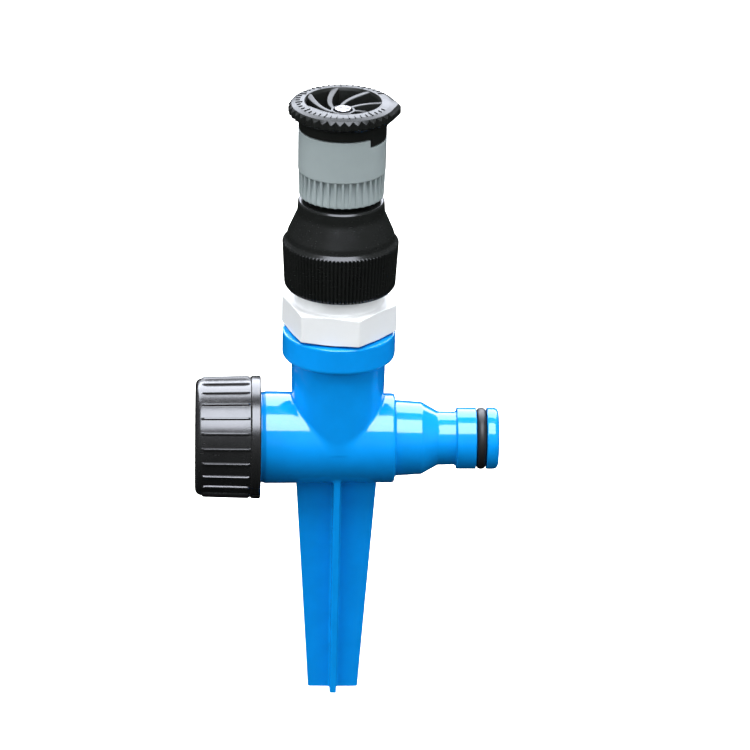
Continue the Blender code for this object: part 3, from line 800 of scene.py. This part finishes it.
def ring_ticks():
    """A plain scale: short raised ticks on the ring, with a longer one at every fourth."""
    ticks = bmesh.new()
    for i in range(RING_TICKS):
        angle = math.radians(30 + 300 * i / (RING_TICKS - 1))
        long = i % 4 == 0
        inner, outer = (10.35, 12.2) if long else (11.0, 12.1)
        size = Vector((outer - inner, 0.38 if long else 0.28, 0.40)) * MM
        made = bmesh.ops.create_cube(ticks, size=1)["verts"]
        bmesh.ops.scale(ticks, vec=size, verts=made)
        bmesh.ops.rotate(ticks, cent=(0, 0, 0), matrix=Matrix.Rotation(0.12, 3, "Y"), verts=made)
        middle = (inner + outer) / 2
        bmesh.ops.translate(ticks, vec=(middle * MM, 0, ring_height(middle) * MM), verts=made)
        bmesh.ops.rotate(ticks, cent=(0, 0, 0), matrix=Matrix.Rotation(angle, 3, "Z"), verts=made)
    bmesh.ops.bevel(ticks, geom=ticks.edges[:], offset=0.06 * MM, segments=2, affect="EDGES")
    vertices = np.array([vertex.co[:] for vertex in ticks.verts]) / MM
    faces = [[vertex.index for vertex in face.verts] for face in ticks.faces]
    ticks.free()
    new_piece("ring_scale", vertices, faces, *ON_RING)


def vane_rings(outer_angle):
    """The rounded cross-sections of one vane, from the hub out to the ring's inner wall."""
    start, reach, steps = 2.8, 10.0, 28
    rings = []
    for i in range(steps + 1):
        t = i / steps
        radius = start + (reach - start) * t
        middle = outer_angle + VANE_SWEEP * (1 - t) ** VANE_BEND
        slope = -VANE_SWEEP * VANE_BEND * (1 - t) ** (VANE_BEND - 1) / (reach - start)
        path = np.array([math.cos(middle), math.sin(middle)])
        side = np.array([-path[1], path[0]])
        ahead = path + side * radius * slope
        ahead /= np.linalg.norm(ahead)
        across = np.array([-ahead[1], ahead[0]])
        half = 0.52 + 0.42 * t
        top = SCREW_TOP - 0.55 + 2.35 * t**1.2
        bottom = COLLAR_BOTTOM + 2.1 - 0.3 * (1 - t)
        foot = half + 0.15
        outline = [(-foot, bottom), (foot, bottom), (half, top, 0.3), (-half, top, 0.3)]
        centre = path * radius
        section = rounded(outline, 4)
        rings.append([(*(centre + across * offset), height) for offset, height in section])
    return np.array(rings)


def spray_deflector():
    """The hub on its foot, and the seven vanes that run from the hub into the ring."""
    bore = 2.5
    hub_top = SCREW_TOP - 0.45
    seat = SCREW_TOP - 3.1
    shank_bore, foot = 1.5, 7.9
    profile = [(bore, hub_top, 0.15), (3.15, hub_top, 0.25), (3.2, FOOT + 1, 0.4)]
    profile += [(foot, FOOT + 1, 0.2), (foot, FOOT, 0.2), (shank_bore, FOOT, 0.1)]
    profile += [(shank_bore, seat), (bore, seat)]
    vertices, faces = spun(rounded(profile, 4), even(96), closed=True)
    weighted(new_piece("deflector_hub", vertices, faces, *ON_RING, "spray_deflector"))
    vertices, faces = [], []
    for i in range(VANES):
        rings = vane_rings(VANE_FIRST + math.tau * i / VANES)
        rows, columns = rings.shape[:2]
        first = sum(len(part) for part in vertices)
        faces += [[first + index for index in face] for face in grid_faces(rows, columns, False, True)]
        faces += [[first + index for index in reversed(range(columns))]]
        faces += [[first + (rows - 1) * columns + index for index in range(columns)]]
        vertices.append(rings.reshape(-1, 3))
    new_piece("deflector_vanes", np.concatenate(vertices), faces, *ON_RING)


def slot_cutter():
    """The block that cuts the screwdriver slot."""
    block = bmesh.new()
    made = bmesh.ops.create_cube(block, size=1)["verts"]
    turn = Matrix.Rotation(math.radians(-20), 3, "Z")
    bmesh.ops.scale(block, vec=Vector((6, 0.62, 1.5)) * MM, verts=made)
    bmesh.ops.rotate(block, cent=(0, 0, 0), matrix=turn, verts=made)
    bmesh.ops.translate(block, vec=(0, 0, SCREW_TOP * MM), verts=made)
    mesh = bpy.data.meshes.new("slot_cutter")
    block.to_mesh(mesh)
    block.free()
    tool = bpy.data.objects.new("slot_cutter", mesh)
    bpy.context.scene.collection.objects.link(tool)
    return tool


def radius_screw():
    """The central screw: a slotted pan head on a threaded shank."""
    head, shank = 2.15, 1.1
    neck = SCREW_TOP - 1.8
    profile = [(0, SCREW_TOP), (1.2, SCREW_TOP), (head, SCREW_TOP - 0.06, 0.35)]
    profile += [(head, neck, 0.2), (shank, neck)]
    profile += [(shank, SCREW_LOW.z + 0.4), (shank - 0.3, SCREW_LOW.z), (0, SCREW_LOW.z)]
    profile = fine(rounded(profile, 6), 0.12)

    def relief(angle, ring):
        radius, height = ring.T
        on_shank = (radius > 1.0) & (radius < 1.2)
        return thread(angle, height, SCREW_PITCH, SCREW_LOW.z + 0.3, SCREW_TOP - 6, 0.16) * on_shank

    vertices, faces = spun(profile, even(64), relief)
    piece = new_piece("centre_screw", vertices, faces, STEEL, "screw", "steel", "radius_screw")
    tool = slot_cutter()
    slot = piece.modifiers.new("Slot", "BOOLEAN")
    slot.operation = "DIFFERENCE"
    slot.solver = "EXACT"
    slot.object = tool
    bpy.context.view_layer.update()
    graph = bpy.context.evaluated_depsgraph_get()
    cut = bpy.data.meshes.new_from_object(piece.evaluated_get(graph))
    piece.modifiers.clear()
    piece.data = cut
    bpy.data.objects.remove(tool)
    cut.shade_smooth()
    cut.set_sharp_from_angle(angle=math.radians(35))
    weighted(piece)


def carried_nodes():
    """The CAD nodes that have no finer piece keep their own shape, with a better material."""
    finishes = {
        "cap_washer": RUBBER,
        "nipple_washer": RUBBER,
        "adapter_washer": RUBBER,
        "nozzle_gasket": RUBBER,
        "screw_seal": RUBBER,
        "filter_frame": NATURAL,
        "valve_sleeve": BLACK,
        "throttle_plug": NATURAL,
        "filter_screen": STEEL,
        "retaining_ring": STEEL,
        "collar_spring": STEEL,
    }
    for node, finish in finishes.items():
        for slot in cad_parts[node].material_slots:
            slot.material = finish


# ---- Floor, light and camera ----

FLOOR_LEVEL = -1.2
FLOOR_SIZE = 12.0  # in metres
FLOOR_GLOW = 0.6
AIM_HEIGHT = 0.09  # in metres, where every light points
SHEEN_TINT = (0.91, 0.95, 1.06)
DOME_STRENGTH = 0.75
MIRRORED_DOME_STRENGTH = 0.12


def floor():
    """The ground that the spike is planted in. It glows enough to be white to the horizon, and
    lights nothing."""
    mesh = bpy.data.meshes.new("floor")
    half = FLOOR_SIZE / 2
    z = FLOOR_LEVEL * MM
    square = [(-half, -half, z), (half, -half, z), (half, half, z), (-half, half, z)]
    mesh.from_pydata(square, [], [(0, 1, 2, 3)])
    material = bpy.data.materials.new("pale_floor")
    material.use_nodes = True
    shader = material.node_tree.nodes["Principled BSDF"]
    shader.inputs["Base Color"].default_value = (0.9, 0.9, 0.9, 1)
    shader.inputs["Roughness"].default_value = 0.9
    shader.inputs["Specular IOR Level"].default_value = 0.0
    shader.inputs["Emission Color"].default_value = (1, 1, 1, 1)
    shader.inputs["Emission Strength"].default_value = FLOOR_GLOW
    mesh.materials.append(material)
    plane = bpy.data.objects.new("floor", mesh)
    bpy.context.scene.collection.objects.link(plane)
    plane.visible_glossy = False
    plane.visible_diffuse = False


def facing(azimuth, elevation):
    """The unit vector from the object towards a light or camera."""
    level = math.cos(elevation)
    return Vector((math.sin(azimuth) * level, -math.cos(azimuth) * level, math.sin(elevation)))


def softbox(name, azimuth, elevation, distance, size, radiance, glossy):
    """A rectangular light that faces the riser. Azimuth 0 is the front, and 90 is +X. A glossy one
    is only reflected, and any other only lights, so that each can be set."""
    light = bpy.data.lights.new(name, "AREA")
    light.shape = "RECTANGLE"
    light.size, light.size_y = size
    light.energy = radiance * math.pi * size[0] * size[1]
    light.color = SHEEN_TINT if glossy else (1, 1, 1)
    box = bpy.data.objects.new(name, light)
    bpy.context.scene.collection.objects.link(box)
    back = facing(math.radians(azimuth), math.radians(elevation))
    box.location = Vector((0, 0, AIM_HEIGHT)) + back * distance
    box.rotation_mode = "QUATERNION"
    box.rotation_quaternion = back.to_track_quat("Z", "Y")
    box.visible_camera = False
    box.visible_glossy = glossy
    box.visible_diffuse = not glossy


def sky():
    """A soft dome: bright above, dim below, dimmer in reflections, and white behind the object."""
    world = bpy.data.worlds.new("studio")
    bpy.context.scene.world = world
    world.use_nodes = True
    nodes, links = world.node_tree.nodes, world.node_tree.links
    nodes.clear()
    output = nodes.new("ShaderNodeOutputWorld")
    dome = nodes.new("ShaderNodeBackground")
    seen = nodes.new("ShaderNodeBackground")
    seen.inputs["Color"].default_value = (1, 1, 1, 1)
    seen.inputs["Strength"].default_value = 1.0
    place = nodes.new("ShaderNodeTexCoord")
    split = nodes.new("ShaderNodeSeparateXYZ")
    ramp = nodes.new("ShaderNodeValToRGB")
    links.new(place.outputs["Generated"], split.inputs["Vector"])
    height = nodes.new("ShaderNodeMapRange")
    height.inputs["From Min"].default_value = -1.0
    links.new(split.outputs["Z"], height.inputs["Value"])
    links.new(height.outputs["Result"], ramp.inputs["Fac"])
    stops = ramp.color_ramp.elements
    stops[0].position, stops[0].color = 0.0, (0.05, 0.06, 0.05, 1)
    stops[1].position, stops[1].color = 1.0, (0.95, 0.97, 1.0, 1)
    for position, colour in ((0.48, (0.10, 0.11, 0.10, 1)), (0.54, (0.50, 0.52, 0.55, 1))):
        stop = stops.new(position)
        stop.color = colour
    links.new(ramp.outputs["Color"], dome.inputs["Color"])
    dome.inputs["Strength"].default_value = DOME_STRENGTH
    mirrored = nodes.new("ShaderNodeBackground")
    links.new(ramp.outputs["Color"], mirrored.inputs["Color"])
    mirrored.inputs["Strength"].default_value = MIRRORED_DOME_STRENGTH
    ray = nodes.new("ShaderNodeLightPath")
    dimmed = nodes.new("ShaderNodeMixShader")
    links.new(ray.outputs["Is Glossy Ray"], dimmed.inputs["Fac"])
    links.new(dome.outputs["Background"], dimmed.inputs[1])
    links.new(mirrored.outputs["Background"], dimmed.inputs[2])
    pick = nodes.new("ShaderNodeMixShader")
    links.new(ray.outputs["Is Camera Ray"], pick.inputs["Fac"])
    links.new(dimmed.outputs["Shader"], pick.inputs[1])
    links.new(seen.outputs["Background"], pick.inputs[2])
    links.new(pick.outputs["Shader"], output.inputs["Surface"])


def camera():
    """A long lens, 1.5 m away and 23.5 degrees above the barrel, rolled a little."""
    azimuth, elevation, roll = math.radians(-2.25), math.radians(23.49), math.radians(1.222)
    distance, right_shift, up_shift = 1500, 9.556, 16.461
    back = facing(azimuth, elevation)
    right = Vector((math.cos(azimuth), math.sin(azimuth), 0))
    up = back.cross(right)
    aim = Vector((0, 0, BARREL_Z)) + right * right_shift + up * up_shift
    lens = bpy.data.cameras.new("camera")
    lens.sensor_width = 36
    lens.lens = 276.696
    lens.clip_start, lens.clip_end = 0.1, 50
    eye = bpy.data.objects.new("camera", lens)
    bpy.context.scene.collection.objects.link(eye)
    eye.location = (aim + back * distance) * MM
    axes = Matrix((right, up, back)).transposed() @ Matrix.Rotation(roll, 3, "Z")
    eye.rotation_mode = "QUATERNION"
    eye.rotation_quaternion = axes.to_quaternion()
    bpy.context.scene.camera = eye


spike_body()
barrel_thread()
tail_o_ring()
end_cap()
hex_nipple()
shrub_adapter()
nozzle_base()
arc_collar()
ring_ticks()
spray_deflector()
radius_screw()
carried_nodes()

floor()
softbox("top_key", 0, 76, 2.0, (1.6, 1.6), 9.0, glossy=False)
softbox("back_key", 180, 42, 2.0, (2.2, 1.9), 2.8, glossy=False)
softbox("front_fill", -10, 25, 2.0, (2.0, 1.6), 1.25, glossy=False)
softbox("left_fill", -75, 15, 2.0, (1.6, 1.2), 3.9, glossy=False)
softbox("right_fill", 75, 15, 2.0, (1.6, 1.2), 3.2, glossy=False)
softbox("front_sheen", 0, 61, 1.7, (1.6, 1.33), 9.0, glossy=True)
softbox("back_sheen", 180, 43.5, 1.7, (2.3, 1.77), 7.5, glossy=True)
sky()
camera()
bpy.context.scene.view_settings.view_transform = "Standard"

bpy.context.view_layer.update()
